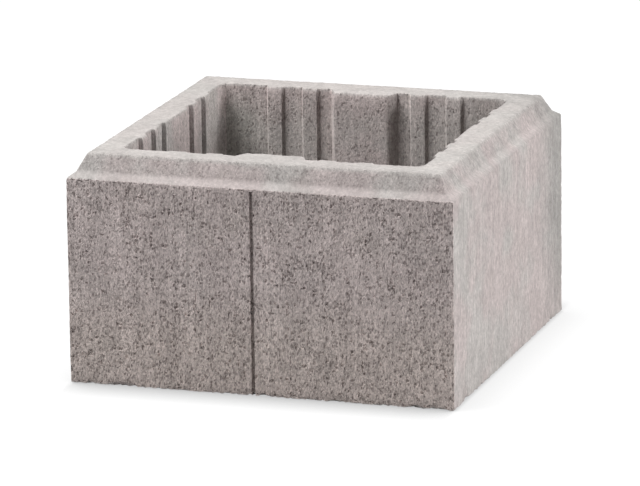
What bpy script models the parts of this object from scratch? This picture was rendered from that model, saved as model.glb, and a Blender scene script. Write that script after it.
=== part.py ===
"""A pressed-concrete pillar block: one hollow square block of the kind that is stacked into a pillar.

Metres, +Z up. The origin is in the middle of the underside, and the face with the false joint looks
along -Y. The block is one casting. A raised rim with a two-slope edge stands on the plain faces, and
the hollow runs right through, with ribs on its four walls and a boss in the middle of two of them.
"""

import math

import bmesh
import bpy
from mathutils import Matrix, Vector

MM = 0.001

# Outer faces
WIDTH = 380 * MM  # along X
DEPTH = 380 * MM  # along Y
FACE_HEIGHT = 200 * MM  # from the underside to the foot of the shoulder
ARRIS_RADIUS = 3 * MM  # upright outer edges

# Raised rim: a low shoulder, then a steep bevel up to the flat bed
SHOULDER_INSET = 7.5 * MM
SHOULDER_RISE = 5 * MM
BEVEL_INSET = 9 * MM
BEVEL_RISE = 17 * MM
LIP_RADIUS = 2 * MM  # rounding at the foot of the shoulder and at the edge of the bed

# Hollow
WALL = 42 * MM  # from an outer face to the hollow's plain face
HOLLOW_CORNER_RADIUS = 12 * MM

# Middle of each inner wall: a boss at the front and back, a wide flat rib at the sides
CENTRE_WIDTH = 69 * MM  # at the foot, for both
BOSS_DEPTH = 13.5 * MM
BOSS_FLANK = 6.5 * MM  # run of each sloped side
BOSS_ARRIS_RADIUS = 2.5 * MM

# Narrow ribs beside the middle
RIB_WIDTH = 18.5 * MM  # at the foot
RIB_DEPTH = 4 * MM
RIB_FLANK = 2.5 * MM
RIB_ARRIS_RADIUS = 1.5 * MM
CENTRE_GAP = 12 * MM  # plain wall between the middle and the first rib
RIB_GAP = 18 * MM  # plain wall between neighbouring ribs
CORNER_LAND = 20 * MM  # least plain wall between the last rib and the corner's arc

# False joint in the front face
JOINT_OFFSET = -6.75 * MM  # from the face's middle, along X
JOINT_WIDTH = 3 * MM  # at the face
JOINT_FLOOR = 1.4 * MM
JOINT_DEPTH = 3 * MM
JOINT_STOP = 2 * MM  # plain face left between the joint's upper end and the shoulder

ARC_STEPS = 4
ARRIS_STEPS = 2
OVERRUN = 10 * MM  # how far a cutter passes the surface that it opens

CONCRETE_COLOUR = (0.402, 0.366, 0.347)
CONCRETE_ROUGHNESS = 0.95

TOP = FACE_HEIGHT + SHOULDER_RISE + BEVEL_RISE
HALF_WIDTH = WIDTH / 2
HALF_DEPTH = DEPTH / 2


def rounded_corner(before, corner, after, radius, steps):
    """The points that stand for one corner of an outline: the corner itself, or an arc in its place."""
    if radius == 0:
        return [corner]
    back = (before - corner).normalized()
    ahead = (after - corner).normalized()
    half_angle = back.angle(ahead) / 2
    centre = corner + (back + ahead).normalized() * radius / math.sin(half_angle)
    start = (corner + back * radius / math.tan(half_angle) - centre).normalized()
    end = (corner + ahead * radius / math.tan(half_angle) - centre).normalized()
    return [centre + start.slerp(end, step / steps) * radius for step in range(steps + 1)]


def rounded_outline(corners):
    """The points of a closed outline. Each corner is (point, radius, steps of its arc)."""
    points = []
    for index, (corner, radius, steps) in enumerate(corners):
        before = corners[index - 1][0]
        after = corners[(index + 1) % len(corners)][0]
        points += rounded_corner(before, corner, after, radius, steps)
    return points


def body_section():
    """(inset, height) of the outer surface, from the underside up to the flat bed."""
    foot = Vector((0, 0))
    shoulder_foot = Vector((0, FACE_HEIGHT))
    bevel_foot = Vector((SHOULDER_INSET, FACE_HEIGHT + SHOULDER_RISE))
    bed_edge = Vector((SHOULDER_INSET + BEVEL_INSET, TOP))
    bed_middle = Vector(((bed_edge.x + WALL) / 2, TOP))
    lip = rounded_corner(foot, shoulder_foot, bevel_foot, LIP_RADIUS, ARRIS_STEPS)
    bed_lip = rounded_corner(bevel_foot, bed_edge, bed_middle, LIP_RADIUS, ARRIS_STEPS)
    return [foot, *lip, bevel_foot, *bed_lip]


def body_ring(inset):
    """The block's outline this far in from its outer faces, with rounded upright edges."""
    half_x = HALF_WIDTH - inset
    half_y = HALF_DEPTH - inset
    signs = ((-1, -1), (1, -1), (1, 1), (-1, 1))
    return rounded_outline(
        [(Vector((sign_x * half_x, sign_y * half_y)), ARRIS_RADIUS, ARC_STEPS) for sign_x, sign_y in signs]
    )


def stacked_outlines(name, levels):
    """A closed solid skinned over outlines at rising heights. Each level is (outline, height)."""
    bm = bmesh.new()
    rings = [[bm.verts.new((point.x, point.y, height)) for point in outline] for outline, height in levels]
    for lower, upper in zip(rings, rings[1:]):
        for index in range(len(lower)):
            bm.faces.new((lower[index - 1], lower[index], upper[index], upper[index - 1]))
    bm.faces.new(reversed(rings[0]))
    bm.faces.new(rings[-1])
    mesh = bpy.data.meshes.new(name)
    bm.to_mesh(mesh)
    bm.free()
    solid = bpy.data.objects.new(name, mesh)
    bpy.context.collection.objects.link(solid)
    return solid


def prism(name, outline, bottom, top):
    """An upright prism on a closed outline, which runs anticlockwise seen from above."""
    return stacked_outlines(name, [(outline, bottom), (outline, top)])


def raised_strip(middle, width, depth, flank, arris_radius):
    """The corners of a rib or boss on an inner wall: x runs along the wall, y into the hollow."""
    foot = width / 2
    crest = foot - flank
    return [
        (Vector((middle - foot, 0)), 0, 0),
        (Vector((middle - crest, depth)), arris_radius, ARRIS_STEPS),
        (Vector((middle + crest, depth)), arris_radius, ARRIS_STEPS),
        (Vector((middle + foot, 0)), 0, 0),
    ]


def rib_middles(half_length):
    """Where the ribs stand on an inner wall, as many on each side as fit before the corner."""
    first = CENTRE_WIDTH / 2 + CENTRE_GAP + RIB_WIDTH / 2
    last = half_length - HOLLOW_CORNER_RADIUS - CORNER_LAND - RIB_WIDTH / 2
    pitch = RIB_WIDTH + RIB_GAP
    count = max(0, math.floor((last - first) / pitch) + 1)
    right = [first + index * pitch for index in range(count)]
    return [-middle for middle in reversed(right)], right


def wall_corners(half_length, has_boss):
    """The corners along one inner wall, from the hollow's corner at its start."""
    left_ribs, right_ribs = rib_middles(half_length)
    if has_boss:
        centre = raised_strip(0, CENTRE_WIDTH, BOSS_DEPTH, BOSS_FLANK, BOSS_ARRIS_RADIUS)
    else:
        centre = raised_strip(0, CENTRE_WIDTH, RIB_DEPTH, RIB_FLANK, RIB_ARRIS_RADIUS)
    corners = [(Vector((-half_length, 0)), HOLLOW_CORNER_RADIUS, ARC_STEPS)]
    for middle in left_ribs:
        corners += raised_strip(middle, RIB_WIDTH, RIB_DEPTH, RIB_FLANK, RIB_ARRIS_RADIUS)
    corners += centre
    for middle in right_ribs:
        corners += raised_strip(middle, RIB_WIDTH, RIB_DEPTH, RIB_FLANK, RIB_ARRIS_RADIUS)
    return corners


def hollow_outline():
    """The hollow seen from above: four ribbed walls, each turned a quarter turn from the last."""
    half_x = HALF_WIDTH - WALL
    half_y = HALF_DEPTH - WALL
    corners = []
    for quarter in range(4):
        faces_y = quarter % 2 == 0
        half_length, reach = (half_x, half_y) if faces_y else (half_y, half_x)
        turn = Matrix.Rotation(quarter * math.pi / 2, 2)
        for point, radius, steps in wall_corners(half_length, has_boss=faces_y):
            corners.append((turn @ Vector((point.x, point.y - reach)), radius, steps))
    return rounded_outline(corners)


def joint_outline():
    """The false joint's tapered section, which passes the front face."""
    taper = (JOINT_WIDTH - JOINT_FLOOR) / 2 / JOINT_DEPTH
    half_mouth = JOINT_WIDTH / 2 + taper * OVERRUN
    half_floor = JOINT_FLOOR / 2
    outside = -HALF_DEPTH - OVERRUN
    inside = -HALF_DEPTH + JOINT_DEPTH
    return [
        Vector((JOINT_OFFSET - half_mouth, outside)),
        Vector((JOINT_OFFSET + half_mouth, outside)),
        Vector((JOINT_OFFSET + half_floor, inside)),
        Vector((JOINT_OFFSET - half_floor, inside)),
    ]


def cut(body, cutter):
    """Takes the cutter's shape out of the body and keeps the cutter as a wire guide."""
    cutter.display_type = "WIRE"
    cutter.hide_render = True
    modifier = body.modifiers.new("cut_" + cutter.name, "BOOLEAN")
    modifier.operation = "DIFFERENCE"
    modifier.solver = "EXACT"
    modifier.object = cutter


def concrete():
    """Pale grey pressed concrete."""
    material = bpy.data.materials.new("concrete")
    material.use_nodes = True
    shader = material.node_tree.nodes["Principled BSDF"]
    shader.inputs["Base Color"].default_value = (*CONCRETE_COLOUR, 1)
    shader.inputs["Roughness"].default_value = CONCRETE_ROUGHNESS
    shader.inputs["Metallic"].default_value = 0
    return material


def main():
    for old in list(bpy.data.objects):
        bpy.data.objects.remove(old)
    block = stacked_outlines("pillar_block", [(body_ring(inset), height) for inset, height in body_section()])
    block.data.materials.append(concrete())
    cut(block, prism("hollow_cutter", hollow_outline(), -OVERRUN, TOP + OVERRUN))
    cut(block, prism("joint_cutter", joint_outline(), -OVERRUN, FACE_HEIGHT - JOINT_STOP))


main()
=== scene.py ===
"""Looks of the pillar block: a worn, open-grained concrete casting on a white studio floor.

Metres, +Z up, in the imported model's frame. The visible casting is one closed net. Its rows follow the
block's section and its columns follow the plan. A node tree then raises the ribs, wears the arrises
and opens the pores. Wear only ever takes concrete away.
"""

import math
from collections import namedtuple

import bpy
import numpy as np
from mathutils import Matrix, Vector


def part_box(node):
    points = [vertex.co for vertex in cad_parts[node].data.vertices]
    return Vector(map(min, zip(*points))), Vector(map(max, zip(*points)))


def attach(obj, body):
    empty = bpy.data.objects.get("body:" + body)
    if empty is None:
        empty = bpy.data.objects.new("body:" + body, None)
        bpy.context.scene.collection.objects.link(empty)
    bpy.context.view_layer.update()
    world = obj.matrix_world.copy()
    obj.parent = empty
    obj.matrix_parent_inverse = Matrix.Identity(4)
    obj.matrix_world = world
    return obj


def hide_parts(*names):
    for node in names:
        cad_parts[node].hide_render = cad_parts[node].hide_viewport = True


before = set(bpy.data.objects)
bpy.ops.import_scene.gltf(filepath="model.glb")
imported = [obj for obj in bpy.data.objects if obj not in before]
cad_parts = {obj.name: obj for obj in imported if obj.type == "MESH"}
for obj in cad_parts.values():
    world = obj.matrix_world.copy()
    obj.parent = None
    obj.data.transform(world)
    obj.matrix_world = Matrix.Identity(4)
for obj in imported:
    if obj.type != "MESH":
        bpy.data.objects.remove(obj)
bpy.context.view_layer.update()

MM = 0.001
NODE = "pillar_block"
BODY = "root"
SEED = 11

# Walls of the plan, as quarter turns from the front: front, right, back, left
WALLS = 4
FRONT = 0

# Outer faces and raised rim
_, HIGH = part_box(NODE)
HALF = HIGH.x
TOP = HIGH.z
FACE_HEIGHT = 200 * MM
ARRIS_RADIUS = 1.2 * MM
SHOULDER_INSET = 7.5 * MM
SHOULDER_RISE = 5 * MM
BED_INSET = 16.5 * MM
LIP_RADIUS = 2 * MM
EDGE_ROUNDING = 1.2 * MM  # of the outer bottom arris, and of the hollow's edges

# Hollow
WALL = 42 * MM
HOLLOW_CORNER_RADIUS = 12 * MM
STRAIGHT = HALF - WALL - HOLLOW_CORNER_RADIUS
CENTRE_WIDTH = 69 * MM
BOSS_DEPTH = 13.5 * MM
BOSS_FLANK = 6.5 * MM
BOSS_ROUNDING = 6 * MM
RIB_WIDTH = 18.5 * MM
RIB_DEPTH = 4 * MM
RIB_FLANK = 2.1 * MM
RIB_ROUNDING = 1.1 * MM
FIRST_RIB = 55.75 * MM
RIB_PITCH = 36.5 * MM
RIBS_EACH_SIDE = 2
RIB_END = 6 * MM  # how far down the ribs' worn upper ends reach

# False joint in the front face. Its mouth and floor are half widths.
JOINT_MIDDLE = -6.75 * MM
JOINT_MOUTH = 1.65 * MM
JOINT_FLOOR = 0.85 * MM
JOINT_DEPTH = 3 * MM
JOINT_TOP = 198 * MM
JOINT_RUNOUT = 0.5 * MM

# Net of the casting
WALL_COLUMNS = (116, 110, 110, 110)  # along the straight part of each wall
CORNER_STEPS = 4
FAN_COLUMNS = 18  # between an upright arris and the straight part
FAN_CROWDING = 1.25  # above 1, they lie closer together at the arris
FACE_ROWS = 60
BEVEL_ROWS = 6
HOLLOW_ROWS = 30
CHIPPED_FOOT = (0.8 * MM, 2 * MM, 4 * MM)  # rows close together where the bottom arris chips
CHIPPED_TOP = 2.5 * MM  # the same below the hollow's upper edge
BED_SHARES = (0.12, 0.27, 0.42, 0.57, 0.72, 0.86)
UNDERSIDE_SHARES = (0.85, 0.6, 0.35, 0.12)
ARC_MIDDLE = 0.3  # how far a rounding's middle lies from either face, as a share of its radius
RIB_CREST_REACHES = (0.8 * MM,)
BOSS_CREST_REACHES = (1.4 * MM, 2.9 * MM)
JITTER = 0.3  # the share of a step that a place may shift by

# The most that a chip takes out of an arris, along each of its two faces, and how far chips spread
BOTTOM_CHIP = 3.2 * MM
LIP_CHIP = 0.32 * MM
HOLLOW_CHIP = 0.5 * MM
UPRIGHT_CHIP = 0.3 * MM
BOTTOM_SPREAD = 3.5 * MM
UPRIGHT_SPREAD = 3.5 * MM
LIP_SPREAD = 1.6 * MM
BED_EDGE_SPREAD = 2.2 * MM
HOLLOW_SPREAD = 3.2 * MM
CORNER_SPARED = 0.75  # share of the bottom arris's chips that is missing at its corners
CORNER_SPARED_REACH = 9 * MM
SIDE_CHIP_SHARE = 0.6  # chips of the side faces' bottom arris, beside those of the front and back

# How open the grain is and how strong the drag marks are: on the front and back, then on the sides
OPENNESS = {
    "face": (1.0, 0.35),
    "shoulder": (0.25, 0.25),
    "bevel": (0.6, 0.35),
    "bed": (0.2, 0.2),
    "hollow": (0.75, 0.6),
    "underside": (0.5, 0.5),
}
DRAG = {
    "face": (0.0, 0.68),
    "shoulder": (0.3, 0.3),
    "bevel": (0.4, 0.65),
    "bed": (0.3, 0.3),
    "hollow": (0.25, 0.4),
    "underside": (0.3, 0.3),
}

# How pale the paste is, partly its tone and partly painted light and shade set stretch by stretch: on
# the front, right, back and left walls
TONE_AND_PAINTED_LIGHT = {
    "face": (1.045, 0.93, 1.045, 0.93),
    "shoulder": (1.04, 1.06, 1.04, 1.06),
    "bevel": (0.93, 0.955, 0.93, 0.955),
    "bed": (1.0, 1.06, 1.05, 1.0),
    "hollow": (1.12, 1.08, 1.2, 1.1),
    "underside": (0.95, 0.95, 0.95, 0.95),
}
FACE_TONE_OVERLAP = 0.8 * MM  # how far the face's tone runs up over the lip
# Painted light: the sides paler towards their foot
FOOT_PAINTED_LIGHT = (0, 0.1, 0, 0.1)
FOOT_HEIGHT = 120 * MM
DEPTH_SHADE = 0.25
DEPTH_OF_SHADE = 150 * MM
JOINT_SHADE = 0.72

# Grey film and painted shade on the hollow's front and back walls: it starts this far down and is full
# lower still; the painted shade is strongest in the corners
FILM_AND_SHADE_START = 5 * MM
FILM_AND_SHADE_FADE = 30 * MM
FILM_AND_SHADE = 0.36
# Painted shade in the hollow's corners
CORNER_PAINTED_SHADE = 0.8
CORNER_PAINTED_SHADE_REACH = 26 * MM
BOSS_FILM_AND_SHADE_SHARE = 0.1
BOSS_FILM_AND_SHADE_EDGE = (-12 * MM, -2 * MM)  # where it comes in, outwards from the boss's foot

# Camera
CAMERA_AZIMUTH = 17.860
CAMERA_ELEVATION = 14.172
CAMERA_ROLL = -0.720
CAMERA_DISTANCE = 5.372
CAMERA_SIDE = -1.67 * MM
CAMERA_RISE = 99.78 * MM
SENSOR_WIDTH = 36
PICTURE_WIDTH = 640
FOCAL_LENGTH = 5530.5 * SENSOR_WIDTH / PICTURE_WIDTH
VIEW_REACH = 100

# Soft lamps: azimuth (0 in front, 90 to the right), elevation, size and watts
LAMPS = {
    "left_lamp": (-56, 61, 1.3, 95),
    "right_lamp": (110, 40, 0.9, 38),
    "low_right_lamp": (88, 6, 0.6, 34),
}
LAMP_DISTANCE = 3.0
SURROUND_LEVEL = 0.03

# Floor
FLOOR_REACH = 6.0
FLOOR_DROP = 0.3 * MM
WHITE = (1, 1, 1, 1)
FLOOR_PAINT = (0.7, 0.7, 0.7, 1)
SEEN_PAINT = (0.08, 0.08, 0.08, 1)
# Painted contact shadow in the floor's glow, from ambient occlusion, weaker beside the block's sides
CONTACT_REACH = 56 * MM
CONTACT_SAMPLES = 8
CONTACT_SHADE = 0.45
HALF_COVERED = 0.5  # the share of open surround at which the floor's shade is full
SIDE_CONTACT_SHARE = 0.38
SIDE_CONTACT_EDGE = 4 * MM

Row = namedtuple("Row", "inset share height is_key")
Columns = namedtuple("Columns", "face_along hollow_along wall finish is_key")
Noise = namedtuple("Noise", "scale detail roughness start end")


# Net: one ring of places round the block for every step along its section


def spread(lengths, total):
    """How many steps each stretch of a line gets: at least one, and about equal in length."""
    steps = np.maximum(1, np.floor(lengths / lengths.sum() * total)).astype(int)
    while steps.sum() < total:
        steps[np.argmax(lengths / steps)] += 1
    while steps.sum() > total:
        steps[np.argmin(np.where(steps > 1, lengths / steps, np.inf))] -= 1
    return steps


def stations(keys, total):
    """Places along a line, one of them at each key but the last, and whether each is at a key."""
    keys = np.array(sorted(keys))
    places = []
    is_key = []
    for start, end, steps in zip(keys, keys[1:], spread(np.diff(keys), total)):
        for step in range(steps):
            places.append(start + (end - start) * step / steps)
            is_key.append(step == 0)
    return np.array(places), np.array(is_key)


def strip_keys(middle, width, flank, reaches):
    """Where a rib's or boss's edges lie along its wall, and the places that round its crest."""
    foot = width / 2
    crest = foot - flank
    edges = (foot, crest, *(crest + side * reach for reach in reaches for side in (-1, 1)))
    return [middle + side * edge for edge in edges for side in (-1, 1)]


def wall_stations(wall):
    """Places along the straight part of one wall, with one at every edge of its ribs and joint."""
    has_boss = wall % 2 == 0
    flank = BOSS_FLANK if has_boss else RIB_FLANK
    reaches = BOSS_CREST_REACHES if has_boss else RIB_CREST_REACHES
    keys = [-STRAIGHT, STRAIGHT, *strip_keys(0, CENTRE_WIDTH, flank, reaches)]
    for index in range(RIBS_EACH_SIDE):
        for side in (-1, 1):
            middle = side * (FIRST_RIB + index * RIB_PITCH)
            keys += strip_keys(middle, RIB_WIDTH, RIB_FLANK, RIB_CREST_REACHES)
    if wall == FRONT:
        joint_edges = (-JOINT_MOUTH, -JOINT_FLOOR, JOINT_FLOOR, JOINT_MOUTH)
        keys += [JOINT_MIDDLE + edge for edge in joint_edges]
    return stations(keys, WALL_COLUMNS[wall])


def fan_places(half):
    """Places along a face from an upright arris to the straight part, closer at the arris."""
    end = half - ARRIS_RADIUS
    shares = [(step / FAN_COLUMNS) ** FAN_CROWDING for step in range(FAN_COLUMNS)]
    return [end - (end - STRAIGHT) * share for share in shares]


def arc(middle, radius, start, shares):
    """Places on the arc of a quarter turn round a middle, starting at this angle."""
    turns = [start + share * math.pi / 2 for share in shares]
    return [
        (middle[0] + radius * math.cos(turn), middle[1] + radius * math.sin(turn)) for turn in turns
    ]


def joint_depth(along, height):
    """How far the false joint goes in at a place on the front face."""
    across = (JOINT_MOUTH - abs(along - JOINT_MIDDLE)) / (JOINT_MOUTH - JOINT_FLOOR)
    up = (JOINT_TOP - height) / JOINT_RUNOUT
    return JOINT_DEPTH * min(1, max(0, across)) * min(1, max(0, up))


def turned(wall, point):
    """A place of the front wall, turned round to the wall it stands for."""
    return Matrix.Rotation(wall * math.pi / 2, 2) @ Vector(point)


def outer_ring(inset, height, walls):
    """The block's outline, this far in from its outer faces."""
    half = HALF - inset
    end = half - ARRIS_RADIUS
    fan = fan_places(half)
    corner_shares = [step / CORNER_STEPS for step in range(CORNER_STEPS)]
    ring = []
    for wall, (places, _) in enumerate(walls):
        line = arc((-end, -end), ARRIS_RADIUS, math.pi, corner_shares)
        line += [(-place, -half) for place in fan]
        for place in places:
            depth = joint_depth(place, height) if wall == FRONT else 0
            line.append((place, -half + depth))
        line.append((STRAIGHT, -half))
        line += [(place, -half) for place in fan[:0:-1]]
        ring += [turned(wall, point) for point in line]
    return np.array(ring)


def inner_ring(walls):
    """The hollow's plain outline, before its ribs are raised. Its corners take the faces' fans."""
    half = HALF - WALL
    corner_columns = CORNER_STEPS + 2 * FAN_COLUMNS
    start_shares = [step / corner_columns for step in range(FAN_COLUMNS, corner_columns)]
    end_shares = [step / corner_columns for step in range(FAN_COLUMNS)]
    ring = []
    for wall, (places, _) in enumerate(walls):
        line = arc((-STRAIGHT, -STRAIGHT), HOLLOW_CORNER_RADIUS, math.pi, start_shares)
        line += [(place, -half) for place in places]
        line += arc((STRAIGHT, -STRAIGHT), HOLLOW_CORNER_RADIUS, -math.pi / 2, end_shares)
        ring += [turned(wall, point) for point in line]
    return np.array(ring)


def rounded_corner(before, corner, after):
    """Three places on the arc that rounds one corner of the section."""
    back = (before - corner).normalized()
    ahead = (after - corner).normalized()
    half_angle = back.angle(ahead) / 2
    centre = corner + (back + ahead).normalized() * LIP_RADIUS / math.sin(half_angle)
    run = LIP_RADIUS / math.tan(half_angle)
    start = (corner + back * run - centre).normalized()
    end = (corner + ahead * run - centre).normalized()
    return [centre + start.slerp(end, step / 2) * LIP_RADIUS for step in range(3)]


def section_rows():
    """The section: up the outer face, over the rim, down the hollow and out along the underside."""
    foot = Vector((0, 0))
    lip = Vector((0, FACE_HEIGHT))
    bevel_foot = Vector((SHOULDER_INSET, FACE_HEIGHT + SHOULDER_RISE))
    bed_edge = Vector((BED_INSET, TOP))
    lip_arc = rounded_corner(foot, lip, bevel_foot)
    bed_arc = rounded_corner(bevel_foot, bed_edge, Vector((WALL, TOP)))
    rows = outer_rows(bevel_foot, lip_arc, bed_arc)
    rows += bed_rows(bed_arc[-1].x)
    rows += hollow_rows(bed_arc[-1].x)
    rows += underside_rows()
    return rows


def outer_rows(bevel_foot, lip_arc, bed_arc):
    """Rows of the outer face, the shoulder and the bevel."""
    keys = [*CHIPPED_FOOT, JOINT_TOP - JOINT_RUNOUT, JOINT_TOP, lip_arc[0].y]
    rows = [Row(0, 0, height, is_key) for height, is_key in zip(*stations(keys, FACE_ROWS))]
    rows += [Row(point.x, 0, point.y, True) for point in lip_arc]
    shoulder = lip_arc[-1].lerp(bevel_foot, 0.5)
    rows.append(Row(shoulder.x, 0, shoulder.y, False))
    for step in range(BEVEL_ROWS):
        point = bevel_foot.lerp(bed_arc[0], step / BEVEL_ROWS)
        rows.append(Row(point.x, 0, point.y, step == 0))
    rows += [Row(point.x, 0, point.y, True) for point in bed_arc]
    return rows


def bed_rows(inset):
    """Rows of the flat bed, and of its rounding into the hollow."""
    edge = EDGE_ROUNDING / (WALL - inset)
    rows = [Row(inset, share, TOP, False) for share in BED_SHARES]
    rows.append(Row(inset, 1 - edge, TOP, True))
    rows.append(Row(inset, 1 - edge * ARC_MIDDLE, TOP - EDGE_ROUNDING * ARC_MIDDLE, True))
    return rows


def hollow_rows(inset):
    """Rows of the hollow's walls, from the top down."""
    keys = [0, CHIPPED_TOP, RIB_END, TOP - RIB_END, TOP - 2 * EDGE_ROUNDING]
    depths, is_key = stations(keys, HOLLOW_ROWS)
    rows = [Row(inset, 1, TOP - EDGE_ROUNDING - depth, key) for depth, key in zip(depths, is_key)]
    rows.append(Row(inset, 1, EDGE_ROUNDING, True))
    return rows


def underside_rows():
    """Rows of the underside, with its roundings, from the hollow outwards."""
    edge = EDGE_ROUNDING / WALL
    rows = [
        Row(0, 1 - edge * ARC_MIDDLE, EDGE_ROUNDING * ARC_MIDDLE, True),
        Row(0, 1 - edge, 0, True),
    ]
    rows += [Row(0, share, 0, False) for share in UNDERSIDE_SHARES]
    rows.append(Row(0, edge, 0, True))
    rows.append(Row(0, edge * ARC_MIDDLE, EDGE_ROUNDING * ARC_MIDDLE, True))
    return rows


def stretch(row, face_top=FACE_HEIGHT):
    """Which stretch of the section a row lies on."""
    if row.share == 1:
        return "hollow"
    if row.share > 0:
        return "bed" if row.height > FACE_HEIGHT else "underside"
    if row.height <= face_top:
        return "face"
    return "shoulder" if row.height <= FACE_HEIGHT + SHOULDER_RISE else "bevel"


def near(distance, reach):
    """1 at a place and 0 well away from it."""
    return np.exp(-((distance / reach) ** 2))


def row_wear(row):
    """What a row may lose: inwards, upwards, and how close it is to an arris that runs along it."""
    bottom = lip = bed_edge = hollow_top = hollow_bottom = 0.0
    if row.share == 0:
        bottom = near(row.height, BOTTOM_SPREAD)
        lip = near(row.height - FACE_HEIGHT, LIP_SPREAD)
        bed_edge = near(row.height - TOP, BED_EDGE_SPREAD)
    elif row.share == 1:
        hollow_top = near(row.height - TOP, HOLLOW_SPREAD)
        hollow_bottom = near(row.height, BOTTOM_SPREAD)
    elif row.height > FACE_HEIGHT:
        bed_edge = near(row.share * (WALL - BED_INSET), BED_EDGE_SPREAD)
        hollow_top = near((1 - row.share) * (WALL - BED_INSET), HOLLOW_SPREAD)
    else:
        bottom = near(row.share * WALL, BOTTOM_SPREAD)
        hollow_bottom = near((1 - row.share) * WALL, BOTTOM_SPREAD)
    outside = LIP_CHIP * (lip + bed_edge)
    sink = BOTTOM_CHIP * bottom + outside - HOLLOW_CHIP * (hollow_top + hollow_bottom)
    rise = BOTTOM_CHIP * bottom - outside + HOLLOW_CHIP * (hollow_bottom - hollow_top)
    return sink, rise, max(bottom, lip, bed_edge, hollow_top, hollow_bottom)


def row_level(row, levels, finish):
    """One of the two finishes' levels along a row: that of the front and back, or of the sides."""
    return np.array(levels[stretch(row)])[finish % 2]


def row_tone_and_painted_light(row, finish):
    """How pale the paste is along a row, partly its tone and partly painted light and shade. Painted
    shade darkens the hollow downwards and painted light makes the sides' foot paler.
    """
    part = stretch(row, FACE_HEIGHT + FACE_TONE_OVERLAP)
    tone_and_painted_light = np.array(TONE_AND_PAINTED_LIGHT[part])
    # painted shade: the hollow darker downwards
    if part == "hollow":
        tone_and_painted_light = tone_and_painted_light * (1 - DEPTH_SHADE * min(1, (TOP - row.height) / DEPTH_OF_SHADE))
    # painted light: the sides paler towards their foot
    if part == "face":
        tone_and_painted_light = tone_and_painted_light + np.array(FOOT_PAINTED_LIGHT) * max(0, 1 - row.height / FOOT_HEIGHT)
    return tone_and_painted_light[finish]


def row_film_and_shade(row, columns):
    """How much grey film and painted shade the hollow's front and back walls get: more lower down, and
    the painted shade most in the corners.
    """
    if row.share < 1:
        return np.zeros(len(columns.wall))
    distance = abs(columns.hollow_along)
    deep = np.clip((TOP - row.height - FILM_AND_SHADE_START) / FILM_AND_SHADE_FADE, 0, 1)
    corner = near(np.maximum(0, STRAIGHT - distance), CORNER_PAINTED_SHADE_REACH)
    start, end = BOSS_FILM_AND_SHADE_EDGE
    off_boss = (distance - CENTRE_WIDTH / 2 - start) / (end - start)
    off_boss = np.clip(off_boss, BOSS_FILM_AND_SHADE_SHARE, 1)
    return np.where(columns.wall % 2 == 0, deep * (FILM_AND_SHADE * off_boss + CORNER_PAINTED_SHADE * corner), 0)


def column_inwards(walls):
    """The level direction from each outer column into the concrete, turned round the corners."""
    turns = [step / CORNER_STEPS * math.pi / 2 for step in range(CORNER_STEPS)]
    directions = []
    for wall, (places, _) in enumerate(walls):
        directions += [turned(wall, (math.cos(turn), math.sin(turn))) for turn in turns]
        directions += [turned(wall, (0, 1))] * (len(places) + 2 * FAN_COLUMNS)
    return np.array(directions)


def column_places(walls):
    """Each column's place along its face and its hollow wall, its wall, whose finish it takes, and
    whether it stays put. An upright arris takes the finish of the front or back.
    """
    fan = fan_places(HALF)
    columns = []
    for wall, (places, is_key) in enumerate(walls):
        front_or_back = wall - wall % 2
        columns += [(-HALF, -HALF, wall, front_or_back, True)] * CORNER_STEPS
        columns += [(-place, -HALF, wall, wall, index == 0) for index, place in enumerate(fan)]
        columns += [(place, place, wall, wall, key) for place, key in zip(places, is_key)]
        columns += [(place, HALF, wall, wall, False) for place in (STRAIGHT, *fan[:0:-1])]
    return Columns(*(np.array(values) for values in zip(*columns)))


def jittered(net, fixed_rows, fixed_columns):
    """The net with its places shifted a little along the surface, but never across an arris."""
    rng = np.random.default_rng(SEED)
    row_step = (np.roll(net, -1, 0) - np.roll(net, 1, 0)) / 2
    column_step = (np.roll(net, -1, 1) - np.roll(net, 1, 1)) / 2
    shift_row = rng.uniform(-JITTER, JITTER, net.shape[:2]) * ~fixed_rows[:, None]
    shift_column = rng.uniform(-JITTER, JITTER, net.shape[:2]) * ~fixed_columns
    return net + row_step * shift_row[..., None] + column_step * shift_column[..., None]


def net_places(rows, columns, walls):
    """The net's places, before its ribs are raised."""
    hollow = inner_ring(walls)
    net = np.zeros((len(rows), len(columns.wall), 3))
    for index, row in enumerate(rows):
        outside = outer_ring(row.inset, row.height, walls)
        net[index, :, :2] = outside * (1 - row.share) + hollow * row.share
        net[index, :, 2] = row.height
    return jittered(net, np.array([row.is_key for row in rows]), columns.is_key)


def net_wear(rows, columns, walls):
    """The path along which each place may be worn, and how close it is to an arris."""
    paths = np.zeros((len(rows), len(columns.wall), 3))
    closeness = np.zeros(paths.shape[:2])
    inwards = column_inwards(walls)
    from_arris = HALF - abs(columns.face_along)
    upright = near(from_arris, UPRIGHT_SPREAD)
    sides = np.sign(columns.face_along)
    diagonals = [turned(wall, (-side, 1)) for wall, side in zip(columns.wall, sides)]
    upright_paths = np.array(diagonals) * (upright * UPRIGHT_CHIP)[:, None]
    foot_share = 1 - CORNER_SPARED * near(from_arris, CORNER_SPARED_REACH)
    foot_share *= np.where(columns.wall % 2 == 0, 1, SIDE_CHIP_SHARE)
    for index, row in enumerate(rows):
        sink, rise, closeness[index] = row_wear(row)
        paths[index, :, :2] = inwards * sink
        paths[index, :, 2] = rise
        if row.share != 1 and row.height < FACE_HEIGHT / 2:
            paths[index] *= foot_share[:, None]
        if row.share == 0:
            paths[index, :, :2] += upright_paths
            closeness[index] = np.maximum(closeness[index], upright)
    return paths, closeness


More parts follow.
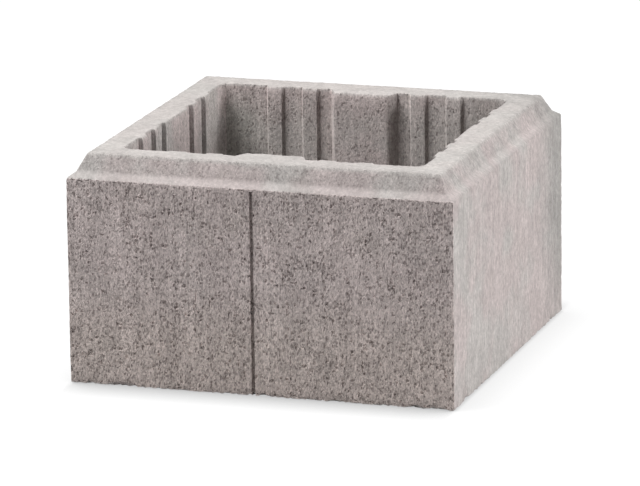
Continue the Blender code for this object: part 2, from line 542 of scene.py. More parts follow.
def net_tone_and_painted_light(rows, columns):
    """How pale the paste is at each place, with its painted light and shade. It is darker inside the
    false joint.
    """
    tone_and_painted_light = np.array([row_tone_and_painted_light(row, columns.finish) for row in rows])
    from_joint = abs(columns.face_along - JOINT_MIDDLE)
    in_joint = (columns.wall == FRONT) & (from_joint < (JOINT_MOUTH + JOINT_FLOOR) / 2)
    for index, row in enumerate(rows):
        if row.share == 0 and row.height < JOINT_TOP:
            tone_and_painted_light[index, in_joint] *= JOINT_SHADE
    return tone_and_painted_light


def closed_mesh(net):
    """The net as a mesh that closes in both directions."""
    ids = np.arange(net.shape[0] * net.shape[1]).reshape(net.shape[:2])
    above = np.roll(ids, -1, 0)
    quads = np.stack([ids, np.roll(ids, -1, 1), np.roll(above, -1, 1), above], axis=-1)
    mesh = bpy.data.meshes.new("casting")
    mesh.from_pydata(net.reshape(-1, 3).tolist(), [], quads.reshape(-1, 4).tolist())
    return mesh


def add_attribute(mesh, name, values, kind="FLOAT"):
    """Stores one value for each place of the net."""
    attribute = mesh.attributes.new(name, kind, "POINT")
    field = "vector" if kind == "FLOAT_VECTOR" else "value"
    attribute.data.foreach_set(field, np.asarray(values, np.float32).ravel())


def casting_net():
    """The closed net, with what the node tree and the concrete need to know about each place."""
    walls = [wall_stations(wall) for wall in range(WALLS)]
    rows = section_rows()
    columns = column_places(walls)
    mesh = closed_mesh(net_places(rows, columns, walls))
    wear, edge = net_wear(rows, columns, walls)
    every_row = (len(rows), 1)
    into_hollow = [(*turned(wall, (0, 1)), 0) for wall in columns.wall]
    add_attribute(mesh, "hollow_share", [[row.share] * len(columns.wall) for row in rows])
    add_attribute(mesh, "along", np.tile(columns.hollow_along, every_row))
    add_attribute(mesh, "has_boss", np.tile(columns.wall % 2 == 0, every_row))
    add_attribute(mesh, "into_hollow", np.tile(into_hollow, (len(rows), 1, 1)), "FLOAT_VECTOR")
    add_attribute(mesh, "wear", wear, "FLOAT_VECTOR")
    add_attribute(mesh, "openness", [row_level(row, OPENNESS, columns.finish) for row in rows])
    add_attribute(mesh, "drag", [row_level(row, DRAG, columns.finish) for row in rows])
    add_attribute(mesh, "tone_and_painted_light", net_tone_and_painted_light(rows, columns))
    add_attribute(mesh, "film_and_shade", [row_film_and_shade(row, columns) for row in rows])
    add_attribute(mesh, "edge", edge)
    return mesh


# Node trees


def add_node(tree, kind, inputs=None, **settings):
    """A new node. Each of its inputs is given a value, or the socket that feeds it."""
    node = tree.nodes.new(kind)
    for name, value in settings.items():
        setattr(node, name, value)
    for name, value in (inputs or {}).items():
        if isinstance(value, bpy.types.NodeSocket):
            tree.links.new(value, node.inputs[name])
        else:
            node.inputs[name].default_value = value
    return node


def maths(tree, operation, *values, clamp=False):
    """The result of a Math node."""
    settings = {"operation": operation, "use_clamp": clamp}
    return add_node(tree, "ShaderNodeMath", dict(enumerate(values)), **settings).outputs[0]


def product(tree, first, *others):
    """Numbers multiplied with each other."""
    for other in others:
        first = maths(tree, "MULTIPLY", first, other)
    return first


def minus(tree, first, second):
    """One number less another."""
    return maths(tree, "SUBTRACT", first, second)


def vector_maths(tree, operation, *values):
    """The vector result of a Vector Math node whose inputs are vectors."""
    node = add_node(tree, "ShaderNodeVectorMath", dict(enumerate(values)), operation=operation)
    return node.outputs[0]


def scaled(tree, vector, factor):
    """A vector times a number."""
    inputs = {"Vector": vector, "Scale": factor}
    return add_node(tree, "ShaderNodeVectorMath", inputs, operation="SCALE").outputs[0]


def split(tree, vector):
    """The three numbers of a place."""
    return add_node(tree, "ShaderNodeSeparateXYZ", {"Vector": vector}).outputs


def remap(tree, value, start, end, low=0.0, high=1.0, smooth=False):
    """A value taken from one range to another, and held to it."""
    node = add_node(tree, "ShaderNodeMapRange", {0: value, 1: start, 2: end, 3: low, 4: high})
    node.interpolation_type = "SMOOTHSTEP" if smooth else "LINEAR"
    return node.outputs[0]


def raw_noise(tree, place, noise):
    """Soft random variation, about 0.5."""
    inputs = {
        "Vector": place,
        "Scale": noise.scale,
        "Detail": noise.detail,
        "Roughness": noise.roughness,
    }
    return add_node(tree, "ShaderNodeTexNoise", inputs).outputs[0]


def noise_between(tree, place, noise, low=0.0, high=1.0, smooth=False):
    """Soft random variation between two values."""
    value = raw_noise(tree, place, noise)
    return remap(tree, value, noise.start, noise.end, low, high, smooth)


def named(tree, name, kind="FLOAT"):
    """A value that the mesh holds."""
    node = add_node(tree, "GeometryNodeInputNamedAttribute", {"Name": name}, data_type=kind)
    return node.outputs[0]


def compared(tree, operation, first, second):
    """Whether one number is above or below another."""
    settings = {"data_type": "FLOAT", "operation": operation}
    return add_node(tree, "FunctionNodeCompare", {0: first, 1: second}, **settings).outputs[0]


def random_draw(tree, seed):
    """A random number from 0 to 1 for each face."""
    return add_node(tree, "FunctionNodeRandomValue", {"Seed": seed}, data_type="FLOAT").outputs[1]


def moved(tree, geometry, offset):
    """The geometry with its places moved."""
    inputs = {"Geometry": geometry, "Offset": offset}
    return add_node(tree, "GeometryNodeSetPosition", inputs).outputs[0]


def stored(tree, geometry, name, value, kind, domain):
    """The geometry with a value kept on it under a name."""
    inputs = {"Geometry": geometry, "Name": name, "Value": value}
    settings = {"data_type": kind, "domain": domain}
    return add_node(tree, "GeometryNodeStoreNamedAttribute", inputs, **settings).outputs[0]


CASTING_SIZES = {
    "Rib Width": RIB_WIDTH,
    "Rib Depth": RIB_DEPTH,
    "Rib Flank": RIB_FLANK,
    "Rib Rounding": RIB_ROUNDING,
    "Rib End": RIB_END,
    "Rib End Wear": 0.9 * MM,
    "First Rib": FIRST_RIB,
    "Rib Pitch": RIB_PITCH,
    "Last Rib": RIBS_EACH_SIDE - 1,
    "Centre Width": CENTRE_WIDTH,
    "Boss Depth": BOSS_DEPTH,
    "Boss Flank": BOSS_FLANK,
    "Boss Rounding": BOSS_ROUNDING,
    "Chip Size": 14 * MM,
    "Grain Size": 4.5 * MM,
    "Grain Depth": 0.22 * MM,
    "Pore Share": 0.15,
    "Pore Depth": 1.3 * MM,
    "Pore Floor": 0.4,
    "Crease Angle": 0.6,
}

# Painted shade and highlight on the flanks: from this height above the wall to this share of the full
# height
FLANK_FOOT = 0.35 * MM
FLANK_CREST = 0.87
ON_WALL = 0.999  # the share of the way to the hollow above which a face is on its wall

# Chips, grain and pores. The scales of the first two come from the tree's inputs.
CHIPS = Noise(None, detail=3.0, roughness=0.65, start=0.5, end=0.72)
LEAST_CHIP = 0.06
GRAIN = Noise(None, detail=2.0, roughness=0.6, start=0.3, end=0.7)
NIBBLES = (0.42, 0.66)
MOST_NIBBLED = 0.42
PORE_CLUSTERS = Noise(38.0, detail=2.0, roughness=0.5, start=0.35, end=0.65)
PORE_CLUSTER_SHARES = (0.25, 1.6)
PORED_OPENNESS = (0.75, 1.0)
SHALLOW_PORE = 0.35


def strip_height(tree, distance, width, depth, flank, rounding):
    """How far a rib or boss stands out at a distance from its middle."""
    room = minus(tree, product(tree, width, 0.5), distance)
    slope = product(tree, room, maths(tree, "DIVIDE", depth, flank))
    return maths(tree, "MAXIMUM", maths(tree, "SMOOTH_MIN", slope, depth, rounding), 0.0)


def rib_middle(tree, distance, size):
    """The middle of the narrow rib that is nearest to a distance from the wall's middle."""
    steps = maths(tree, "DIVIDE", minus(tree, distance, size["First Rib"]), size["Rib Pitch"])
    nearest = maths(tree, "MAXIMUM", maths(tree, "ROUND", steps), 0.0)
    nearest = maths(tree, "MINIMUM", nearest, size["Last Rib"])
    return maths(tree, "MULTIPLY_ADD", nearest, size["Rib Pitch"], size["First Rib"])


def raise_ribs(tree, geometry, size):
    """Moves the hollow's wall out where a rib or boss stands, and the bed and underside with it."""
    distance = maths(tree, "ABSOLUTE", named(tree, "along"))
    has_boss = named(tree, "has_boss")
    middle = rib_middle(tree, distance, size)
    from_rib = maths(tree, "ABSOLUTE", minus(tree, distance, middle))
    rib_sizes = [size["Rib " + name] for name in ("Width", "Depth", "Flank", "Rounding")]
    rib = strip_height(tree, from_rib, *rib_sizes)
    centre_sizes = [
        remap(tree, has_boss, 0.0, 1.0, size["Rib " + name], size["Boss " + name])
        for name in ("Depth", "Flank", "Rounding")
    ]
    centre = strip_height(tree, distance, size["Centre Width"], *centre_sizes)
    raised = maths(tree, "MAXIMUM", rib, centre)

    up = split(tree, add_node(tree, "GeometryNodeInputPosition").outputs[0])[2]
    worn_from = minus(tree, TOP, size["Rib End"])
    end_wear = remap(tree, up, worn_from, TOP, 0.0, size["Rib End Wear"], smooth=True)
    height = maths(tree, "MAXIMUM", minus(tree, raised, end_wear), 0.0)
    height = product(tree, height, named(tree, "hollow_share"))
    offset = scaled(tree, named(tree, "into_hollow", "FLOAT_VECTOR"), height)
    ribbed = moved(tree, geometry, offset)
    return paint_flank_shade(tree, ribbed, size, distance, middle, raised, centre_sizes[0])


def paint_flank_shade(tree, geometry, size, distance, middle, raised, centre_depth):
    """Marks the flanks of ribs and bosses for painted shade and highlight: 1 where they are painted
    dark, -1 where painted pale and 0 off them.

    On a wall with a boss, the flanks that face one way along it get a painted highlight and the others
    painted shade. On the other walls all of them get painted shade.
    """
    has_boss = named(tree, "has_boss")
    in_centre = maths(tree, "LESS_THAN", distance, product(tree, size["Centre Width"], 0.5))
    full = maths(tree, "MAXIMUM", size["Rib Depth"], product(tree, in_centre, centre_depth))
    above_foot = maths(tree, "GREATER_THAN", raised, FLANK_FOOT)
    below_crest = maths(tree, "LESS_THAN", raised, product(tree, full, FLANK_CREST))
    on_wall = maths(tree, "GREATER_THAN", named(tree, "hollow_share"), ON_WALL)
    from_middle = minus(tree, distance, product(tree, middle, minus(tree, 1.0, in_centre)))
    half = maths(tree, "SIGN", named(tree, "along"))
    side = product(tree, half, maths(tree, "SIGN", from_middle))
    shade = product(tree, side, product(tree, has_boss, -1.0))
    shade = maths(tree, "ADD", shade, minus(tree, 1.0, has_boss))
    mark = product(tree, above_foot, below_crest, on_wall, shade)
    return stored(tree, geometry, "flank", mark, "FLOAT", "FACE")


def wear_surface(tree, geometry, size):
    """Takes chips out of the arrises and a fine grain out of every face, always inwards."""
    place = add_node(tree, "GeometryNodeInputPosition").outputs[0]
    outwards = add_node(tree, "GeometryNodeInputNormal").outputs[0]
    chips = CHIPS._replace(scale=maths(tree, "DIVIDE", 1.0, size["Chip Size"]))
    chipped = noise_between(tree, place, chips, LEAST_CHIP, 1.0, smooth=True)
    grain = GRAIN._replace(scale=maths(tree, "DIVIDE", 1.0, size["Grain Size"]))
    grain = raw_noise(tree, place, grain)
    nibbled = remap(tree, grain, *NIBBLES, 0.0, MOST_NIBBLED)
    lost = maths(tree, "MINIMUM", maths(tree, "ADD", chipped, nibbled), 1.0)
    worn = scaled(tree, named(tree, "wear", "FLOAT_VECTOR"), lost)
    depth = product(tree, remap(tree, grain, GRAIN.start, GRAIN.end), size["Grain Depth"], -1.0)
    return moved(tree, geometry, vector_maths(tree, "ADD", worn, scaled(tree, outwards, depth)))


def open_pores(tree, geometry, size, seed):
    """Sinks scattered mesh faces into small open pores, in loose clusters."""
    place = add_node(tree, "GeometryNodeInputPosition").outputs[0]
    cluster = noise_between(tree, place, PORE_CLUSTERS, *PORE_CLUSTER_SHARES)
    open_here = remap(tree, named(tree, "openness"), *PORED_OPENNESS)
    share = product(tree, open_here, size["Pore Share"], cluster)
    chosen = compared(tree, "LESS_THAN", random_draw(tree, seed), share)
    draw = random_draw(tree, maths(tree, "ADD", seed, 1.0))
    depth = product(tree, remap(tree, draw, 0.0, 1.0, -SHALLOW_PORE, -1.0), size["Pore Depth"])
    inputs = {"Mesh": geometry, "Selection": chosen, "Offset Scale": depth, "Individual": True}
    sunk = add_node(tree, "GeometryNodeExtrudeMesh", inputs, mode="FACES").outputs
    inputs = {"Geometry": sunk["Mesh"], "Selection": sunk["Top"], "Scale": size["Pore Floor"]}
    return add_node(tree, "GeometryNodeScaleElements", inputs, domain="FACE").outputs[0]


def finish_surface(tree, geometry, size, material):
    """Shades the casting smooth between its creases, and gives it its concrete."""
    inputs = {"Geometry": geometry, "Shade Smooth": True}
    smooth = add_node(tree, "GeometryNodeSetShadeSmooth", inputs).outputs[0]
    angle = add_node(tree, "GeometryNodeInputMeshEdgeAngle").outputs[0]
    is_crease = compared(tree, "GREATER_THAN", angle, size["Crease Angle"])
    creased = stored(tree, smooth, "sharp_edge", is_crease, "BOOLEAN", "EDGE")
    real = add_node(tree, "GeometryNodeRealizeInstances", {"Geometry": creased}).outputs[0]
    inputs = {"Geometry": real, "Material": material}
    return add_node(tree, "GeometryNodeSetMaterial", inputs).outputs[0]


def casting_tree(material):
    """The node tree that turns the plain net into the worn casting."""
    tree = bpy.data.node_groups.new("worn_casting", "GeometryNodeTree")
    for side in ("INPUT", "OUTPUT"):
        tree.interface.new_socket(name="Geometry", in_out=side, socket_type="NodeSocketGeometry")
    for name in CASTING_SIZES:
        tree.interface.new_socket(name=name, in_out="INPUT", socket_type="NodeSocketFloat")
    tree.interface.new_socket(name="Seed", in_out="INPUT", socket_type="NodeSocketInt")
    size = add_node(tree, "NodeGroupInput").outputs
    ribbed = raise_ribs(tree, size["Geometry"], size)
    worn = wear_surface(tree, ribbed, size)
    pored = open_pores(tree, worn, size, size["Seed"])
    finished = finish_surface(tree, pored, size, material)
    add_node(tree, "NodeGroupOutput", {"Geometry": finished})
    return tree


def run_tree(piece, tree, values):
    """Runs a node tree on a piece and leaves the result as its plain mesh."""
    modifier = piece.modifiers.new("cast", "NODES")
    modifier.node_group = tree
    for socket in tree.interface.items_tree:
        if socket.in_out == "INPUT" and socket.name in values:
            modifier[socket.identifier] = values[socket.name]
    evaluated = piece.evaluated_get(bpy.context.evaluated_depsgraph_get())
    mesh = bpy.data.meshes.new_from_object(evaluated)
    piece.modifiers.remove(modifier)
    piece.data = mesh


def casting(material):
    """The whole block."""
    piece = bpy.data.objects.new("concrete_casting", casting_net())
    bpy.context.collection.objects.link(piece)
    run_tree(piece, casting_tree(material), CASTING_SIZES | {"Seed": SEED})
    for name in ("hollow_share", "along", "has_boss", "into_hollow", "wear"):
        piece.data.attributes.remove(piece.data.attributes[name])
    return piece


# Concrete: colours, and patterns by how often they repeat in a metre

SMOOTH_PASTE = (0.519, 0.461, 0.450, 1)
OPEN_PASTE = (0.524, 0.453, 0.440, 1)
COOL_PASTE = (0.495, 0.469, 0.451, 1)
SANDY_STAIN = (0.445, 0.405, 0.360, 1)
BED_DUST = (0.538, 0.512, 0.490, 1)
DAMP_PASTE = (0.500, 0.432, 0.385, 1)
GREY_FILM_AND_SHADE = (0.37, 0.357, 0.334, 1)
FAR_GREY = (0.36, 0.348, 0.333, 1)
RUBBED_ARRIS = (0.66, 0.61, 0.585, 1)
PIT_SHADOW = (0.16, 0.126, 0.118, 1)

SAND = Noise(920.0, detail=1.0, roughness=0.6, start=0.25, end=0.75)
GRAVEL = Noise(240.0, detail=2.0, roughness=0.6, start=0.3, end=0.7)
PIT_CLUSTERS = Noise(45.0, detail=3.0, roughness=0.6, start=0.32, end=0.68)
COOL_PATCHES = Noise(15.0, detail=2.0, roughness=0.5, start=0.42, end=0.62)
STAINS = Noise(22.0, detail=3.0, roughness=0.6, start=0.5, end=0.75)
FAR_EDGE = Noise(30.0, detail=3.0, roughness=0.6, start=0.0, end=1.0)
STREAKS = Noise(260.0, detail=3.0, roughness=0.6, start=0.3, end=0.7)
DRAG_MARKS = Noise(320.0, detail=3.0, roughness=0.75, start=0.3, end=0.7)
BLOTCHES = Noise(60.0, detail=3.0, roughness=0.6, start=0.3, end=0.7)
RAGGED_PER_METRE = 900.0
GRAINS_PER_METRE = 710.0
COARSE_PITS = (430.0, 0.17)  # and the share of cells that hold one
FINE_PITS = (660.0, 0.22)

# How much each pattern is drawn out upwards, as the scale of its upright axis
GRAIN_DRAW = (1.0, 1.0, 0.55)
STREAK_DRAW = (1.0, 1.0, 0.04)
DRAG_DRAW = (1.0, 1.0, 0.5)

# How far each pattern swings the paste's brightness
SAND_SWING = 0.26
GRAIN_SWING = 0.22
STREAK_SWING = 0.11
DRAG_SWING = 0.34
BLOTCH_SWING = 0.09
# Painted shade and highlight on the ribs' and bosses' flanks
FLANK_PAINTED_SWING = 0.35

# Pits
RAGGED_REACH = 0.9 * MM
PIT_REACHES = (0.35, 0.75)
PIT_BRIM = 0.6
PIT_CLUSTER_SHARES = (0.15, 1.9)
FINE_PIT_DEPTH = 0.8
PITTED_OPENNESS = (0.3, 1.0)
LEAST_PITTED = 0.1
PIT_COVER = 0.62

# Stains and marks
PATCH_OPENNESS = (0.6, 1.0)
PATCH_COVERS = (0.9, 0.1)  # on smooth and on open concrete
STAIN_COVER = 0.15
BED_COVER = 0.7
BED_START = TOP - 4 * MM
BED_END = TOP - 1 * MM
DAMP_HEIGHTS = (35 * MM, 125 * MM)
DAMP_COVER = 0.42
OPEN_FACES = (0.9, 1.0)  # openness that only the front and back have
ARRIS_COVER = 0.06

# Grey stain on the rear right arris
FAR_STAIN = (190 * MM, 190 * MM, 150 * MM)
FAR_SHAPE = (1.0, 1.0, 0.45)
FAR_RAGGED = 0.05
FAR_FADE = (40 * MM, 130 * MM)
FAR_COVER = 0.9

# A faint pale line up the front and back
SCRAPE_LINE = 8.7 * MM
SCRAPE_FADE = (0.3 * MM, 1.3 * MM)
SCRAPE_SWING = 0.13

# Gloss and relief
ROUGHNESSES = (0.86, 0.97)
SPECULAR = 0.3
SAND_RELIEF = 0.9
GRAVEL_RELIEF = 0.35
GRAIN_RELIEF = -0.35
PIT_RELIEF = -0.8
RELIEF = 1 * MM


def surface_value(tree, name):
    """A value that the casting's mesh holds."""
    return add_node(tree, "ShaderNodeAttribute", attribute_name=name).outputs["Fac"]


def mixed(tree, factor, first, second, blend="MIX"):
    """One colour laid over another."""
    inputs = {0: factor, 6: first, 7: second}
    settings = {"data_type": "RGBA", "blend_type": blend}
    return add_node(tree, "ShaderNodeMix", inputs, **settings).outputs[2]


def stretched(tree, place, scale):
    """A place with its axes scaled, so that a pattern is drawn out along one of them."""
    return add_node(tree, "ShaderNodeMapping", {"Vector": place, "Scale": scale}).outputs[0]


def cells(tree, place, scale):
    """A cell pattern: the distance from each cell's point, and two random numbers per cell."""
    node = add_node(tree, "ShaderNodeTexVoronoi", {"Vector": place, "Scale": scale})
    draws = add_node(tree, "ShaderNodeSeparateColor", {"Color": node.outputs["Color"]}).outputs
    return node.outputs["Distance"], draws[0], draws[1]


def roughened(tree, place):
    """A place moved about by fine noise, so that round marks on it come out ragged."""
    inputs = {"Vector": place, "Scale": RAGGED_PER_METRE, "Detail": 1.0}
    noise = add_node(tree, "ShaderNodeTexNoise", inputs).outputs["Color"]
    centred = vector_maths(tree, "SUBTRACT", noise, (0.5, 0.5, 0.5))
    return vector_maths(tree, "ADD", place, scaled(tree, centred, RAGGED_REACH))


def pits(tree, place, scale, share, cluster):
    """Ragged open pits: 1 at the bottom and 0 between them. More cells hold one in a cluster."""
    distance, draw, size = cells(tree, roughened(tree, place), scale)
    reach = remap(tree, size, 0.0, 1.0, *PIT_REACHES)
    bowl = maths(tree, "SUBTRACT", 1.0, maths(tree, "DIVIDE", distance, reach), clamp=True)
    chosen = maths(tree, "LESS_THAN", draw, product(tree, cluster, share))
    return product(tree, remap(tree, bowl, 0.0, PIT_BRIM, smooth=True), chosen)


def open_pits(tree, place, upright, openness):
    """Coarse and fine pits together, and hardly any on smooth concrete."""
    cluster = noise_between(tree, place, PIT_CLUSTERS, *PIT_CLUSTER_SHARES)
    coarse = pits(tree, upright, *COARSE_PITS, cluster)
    fine = pits(tree, upright, *FINE_PITS, cluster)
    pit = maths(tree, "MAXIMUM", coarse, product(tree, fine, FINE_PIT_DEPTH))
    return product(tree, pit, remap(tree, openness, *PITTED_OPENNESS, LEAST_PITTED, 1.0))


def far_stain(tree, place, upright):
    """How strong the grey stain on the rear right arris is."""
    offset = vector_maths(tree, "SUBTRACT", place, FAR_STAIN)
    offset = vector_maths(tree, "MULTIPLY", offset, FAR_SHAPE)
    node = add_node(tree, "ShaderNodeVectorMath", {0: offset}, operation="LENGTH")
    ragged = raw_noise(tree, upright, FAR_EDGE)
    distance = maths(tree, "MULTIPLY_ADD", ragged, FAR_RAGGED, node.outputs["Value"])
    return remap(tree, distance, *FAR_FADE, FAR_COVER, 0.0, smooth=True)


def paste_colour(tree, place, upright, openness, film_and_shade):
    """The paste with its cool patches, sandy stains, dusty bed, damp foot, and grey film with painted
    shade.
    """
    up = split(tree, place)[2]
    paste = mixed(tree, openness, SMOOTH_PASTE, OPEN_PASTE)
    patches = noise_between(tree, place, COOL_PATCHES, smooth=True)
    patches = product(tree, patches, remap(tree, openness, *PATCH_OPENNESS, *PATCH_COVERS))
    paste = mixed(tree, patches, paste, COOL_PASTE)
    stain = product(tree, noise_between(tree, place, STAINS), STAIN_COVER)
    paste = mixed(tree, stain, paste, SANDY_STAIN)
    bed = product(tree, remap(tree, up, BED_START, BED_END), BED_COVER)
    paste = mixed(tree, bed, paste, BED_DUST)
    damp = remap(tree, up, *DAMP_HEIGHTS, 1.0, 0.0, smooth=True)
    damp = product(tree, damp, remap(tree, openness, *OPEN_FACES, 0.0, DAMP_COVER))
    paste = mixed(tree, damp, paste, DAMP_PASTE)
    # grey film with painted shade, more lower in the hollow and most in its corners
    paste = mixed(tree, film_and_shade, paste, GREY_FILM_AND_SHADE)
    return mixed(tree, far_stain(tree, place, upright), paste, FAR_GREY)


def scrape_line(tree, place, openness):
    """How much paler the faint line up the front and back is."""
    across = split(tree, place)[0]
    distance = maths(tree, "ABSOLUTE", minus(tree, across, SCRAPE_LINE))
    line = remap(tree, distance, *SCRAPE_FADE, SCRAPE_SWING, 0.0)
    return product(tree, line, remap(tree, openness, *OPEN_FACES))


def paste_light(tree, place, upright, openness, sand, grain_tone):
    """How bright the paste is, by its grain, streaks, drag marks and blotches, with painted light and
    shade from its tone and on the flanks.
    """
    swing = remap(tree, sand, SAND.start, SAND.end, -SAND_SWING, SAND_SWING)
    grain_swing = remap(tree, grain_tone, 0.0, 1.0, -GRAIN_SWING, GRAIN_SWING)
    swing = maths(tree, "ADD", swing, grain_swing)
    grain = maths(tree, "MULTIPLY_ADD", swing, openness, 1.0)
    drawn_out = stretched(tree, place, STREAK_DRAW)
    streak = noise_between(tree, drawn_out, STREAKS, 1 - STREAK_SWING, 1 + STREAK_SWING)
    dragged = stretched(tree, place, DRAG_DRAW)
    drag = noise_between(tree, dragged, DRAG_MARKS, -DRAG_SWING, DRAG_SWING)
    drag = maths(tree, "MULTIPLY_ADD", drag, surface_value(tree, "drag"), 1.0)
    blotch = noise_between(tree, upright, BLOTCHES, 1 - BLOTCH_SWING, 1 + BLOTCH_SWING)
    # painted shade on the dark flanks and painted highlight on the pale ones
    flank = surface_value(tree, "flank")
    flank = remap(tree, flank, -1.0, 1.0, 1 + FLANK_PAINTED_SWING, 1 - FLANK_PAINTED_SWING)
    scrape = maths(tree, "ADD", scrape_line(tree, place, openness), 1.0)
    return product(tree, grain, streak, drag, blotch, surface_value(tree, "tone_and_painted_light"), flank, scrape)


def relief(tree, openness, sand, gravel, grain_distance, pit):
    """The surface's small bumps: sand and grains, most where the grain is open, and pits."""
    height = product(tree, sand, SAND_RELIEF)
    height = maths(tree, "MULTIPLY_ADD", gravel, GRAVEL_RELIEF, height)
    height = maths(tree, "MULTIPLY_ADD", grain_distance, GRAIN_RELIEF, height)
    height = product(tree, height, maths(tree, "POWER", openness, 2.0))
    height = maths(tree, "MULTIPLY_ADD", pit, PIT_RELIEF, height)
    inputs = {"Strength": 1.0, "Distance": RELIEF, "Height": height}
    return add_node(tree, "ShaderNodeBump", inputs).outputs[0]


def concrete():
    """Pressed concrete: sandy paste with open pits, soft stains, drag streaks and paler arrises."""
    material = bpy.data.materials.new("pressed_concrete")
    material.use_nodes = True
    tree = material.node_tree
    shader = tree.nodes["Principled BSDF"]
    place = add_node(tree, "ShaderNodeTexCoord").outputs["Object"]
    upright = stretched(tree, place, GRAIN_DRAW)
    openness = surface_value(tree, "openness")
    sand = raw_noise(tree, upright, SAND)
    gravel = raw_noise(tree, upright, GRAVEL)
    grain_distance, grain_tone, _ = cells(tree, upright, GRAINS_PER_METRE)
    pit = open_pits(tree, place, upright, openness)

    paste = paste_colour(tree, place, upright, openness, surface_value(tree, "film_and_shade"))
    light = paste_light(tree, place, upright, openness, sand, grain_tone)
    grey = add_node(tree, "ShaderNodeCombineColor", {0: light, 1: light, 2: light}).outputs[0]
    colour = mixed(tree, 1.0, paste, grey, "MULTIPLY")
    arris = product(tree, surface_value(tree, "edge"), ARRIS_COVER)
    colour = mixed(tree, arris, colour, RUBBED_ARRIS)
    colour = mixed(tree, product(tree, pit, PIT_COVER), colour, PIT_SHADOW)
    tree.links.new(colour, shader.inputs["Base Color"])

    rough = remap(tree, gravel, GRAVEL.start, GRAVEL.end, *ROUGHNESSES)
    tree.links.new(rough, shader.inputs["Roughness"])
    shader.inputs["Specular IOR Level"].default_value = SPECULAR
    bumps = relief(tree, openness, sand, gravel, grain_distance, pit)
    tree.links.new(bumps, shader.inputs["Normal"])
    return material


# Studio


def show_to_camera(tree, output, usual, seen):
    """Gives a material or world one look for the camera, and its usual look for everything else."""
    is_camera = add_node(tree, "ShaderNodeLightPath").outputs["Is Camera Ray"]
    blend = add_node(tree, "ShaderNodeMixShader", {0: is_camera, 1: usual, 2: seen}).outputs[0]
    tree.links.new(blend, tree.nodes[output].inputs["Surface"])


def floor_material():
    """White floor. The camera sees it glow, with a painted shadow darker close to the block and most in
    front of it.
    """
    material = bpy.data.materials.new("white_floor")
    material.use_nodes = True
    tree = material.node_tree
    tree.nodes.remove(tree.nodes["Principled BSDF"])
    paint = add_node(tree, "ShaderNodeBsdfDiffuse", {"Color": FLOOR_PAINT}).outputs[0]
    seen_paint = add_node(tree, "ShaderNodeBsdfDiffuse", {"Color": SEEN_PAINT}).outputs[0]
    contact = add_node(
        tree, "ShaderNodeAmbientOcclusion", {"Distance": CONTACT_REACH}, samples=CONTACT_SAMPLES
    )
    shade = remap(tree, contact.outputs["AO"], HALF_COVERED, 1.0, CONTACT_SHADE, 0.0)
    place = add_node(tree, "ShaderNodeTexCoord").outputs["Object"]
    across = maths(tree, "ABSOLUTE", split(tree, place)[0])
    edge = (HALF - SIDE_CONTACT_EDGE, HALF + SIDE_CONTACT_EDGE)
    shade = product(tree, shade, remap(tree, across, *edge, 1.0, SIDE_CONTACT_SHARE, smooth=True))
    inputs = {"Color": WHITE, "Strength": minus(tree, 1.0, shade)}
    glow = add_node(tree, "ShaderNodeEmission", inputs).outputs[0]
    lit = add_node(tree, "ShaderNodeAddShader", {0: seen_paint, 1: glow}).outputs[0]
    show_to_camera(tree, "Material Output", paint, lit)
    return material


def studio_floor():
    """A wide floor just under the block."""
    mesh = bpy.data.meshes.new("studio_floor")
    signs = ((-1, -1), (1, -1), (1, 1), (-1, 1))
    corners = [(x * FLOOR_REACH, y * FLOOR_REACH, -FLOOR_DROP) for x, y in signs]
    mesh.from_pydata(corners, [], [(0, 1, 2, 3)])
    floor = bpy.data.objects.new("studio_floor", mesh)
    floor.data.materials.append(floor_material())
    bpy.context.collection.objects.link(floor)
    return floor


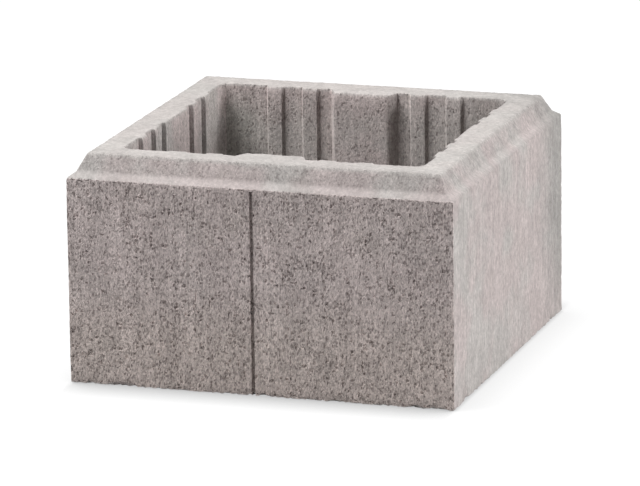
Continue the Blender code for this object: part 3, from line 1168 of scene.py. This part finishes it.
def studio_world():
    """A dim, even surround that the camera sees as plain white."""
    world = bpy.data.worlds.new("surround")
    bpy.context.scene.world = world
    world.use_nodes = True
    tree = world.node_tree
    even = tree.nodes["Background"]
    even.inputs["Color"].default_value = WHITE
    even.inputs["Strength"].default_value = SURROUND_LEVEL
    white = add_node(tree, "ShaderNodeBackground", {"Color": WHITE, "Strength": 1.0}).outputs[0]
    show_to_camera(tree, "World Output", even.outputs[0], white)


def direction(azimuth, elevation):
    """The way from the block towards a lamp or the camera, by angles in degrees."""
    turn = math.radians(azimuth)
    rise = math.radians(elevation)
    level = math.cos(rise)
    return Vector((math.sin(turn) * level, -math.cos(turn) * level, math.sin(rise)))


def soft_lamp(name, azimuth, elevation, size, watts):
    """A square soft lamp that faces the block's middle."""
    lamp = bpy.data.lights.new(name, "AREA")
    lamp.size = size
    lamp.energy = watts
    towards = direction(azimuth, elevation)
    place = Vector((0, 0, TOP / 2)) + towards * LAMP_DISTANCE
    facing = towards.to_track_quat("Z", "Y").to_matrix().to_4x4()
    holder = bpy.data.objects.new(name, lamp)
    holder.matrix_world = Matrix.Translation(place) @ facing
    bpy.context.collection.objects.link(holder)


def studio_camera():
    """The view from the front right and a little above."""
    turn = math.radians(CAMERA_AZIMUTH)
    roll = math.radians(CAMERA_ROLL)
    back = direction(CAMERA_AZIMUTH, CAMERA_ELEVATION)
    level = Vector((math.cos(turn), math.sin(turn), 0))
    upright = back.cross(level)
    right = level * math.cos(roll) + upright * math.sin(roll)
    up = upright * math.cos(roll) - level * math.sin(roll)
    camera = bpy.data.cameras.new("view")
    camera.sensor_width = SENSOR_WIDTH
    camera.lens = FOCAL_LENGTH
    camera.clip_end = VIEW_REACH
    place = back * CAMERA_DISTANCE + right * CAMERA_SIDE + up * CAMERA_RISE
    facing = Matrix((right, up, back)).transposed().to_4x4()
    holder = bpy.data.objects.new("view", camera)
    holder.matrix_world = Matrix.Translation(place) @ facing
    bpy.context.collection.objects.link(holder)
    bpy.context.scene.camera = holder


def main():
    """Builds the studio and the casting, and hands the casting over in place of the plain solid."""
    bpy.context.scene.view_settings.view_transform = "Standard"
    studio_camera()
    studio_world()
    for name, settings in LAMPS.items():
        soft_lamp(name, *settings)
    floor = studio_floor()
    block = casting(concrete())
    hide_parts(NODE)
    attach(block, BODY)


main()
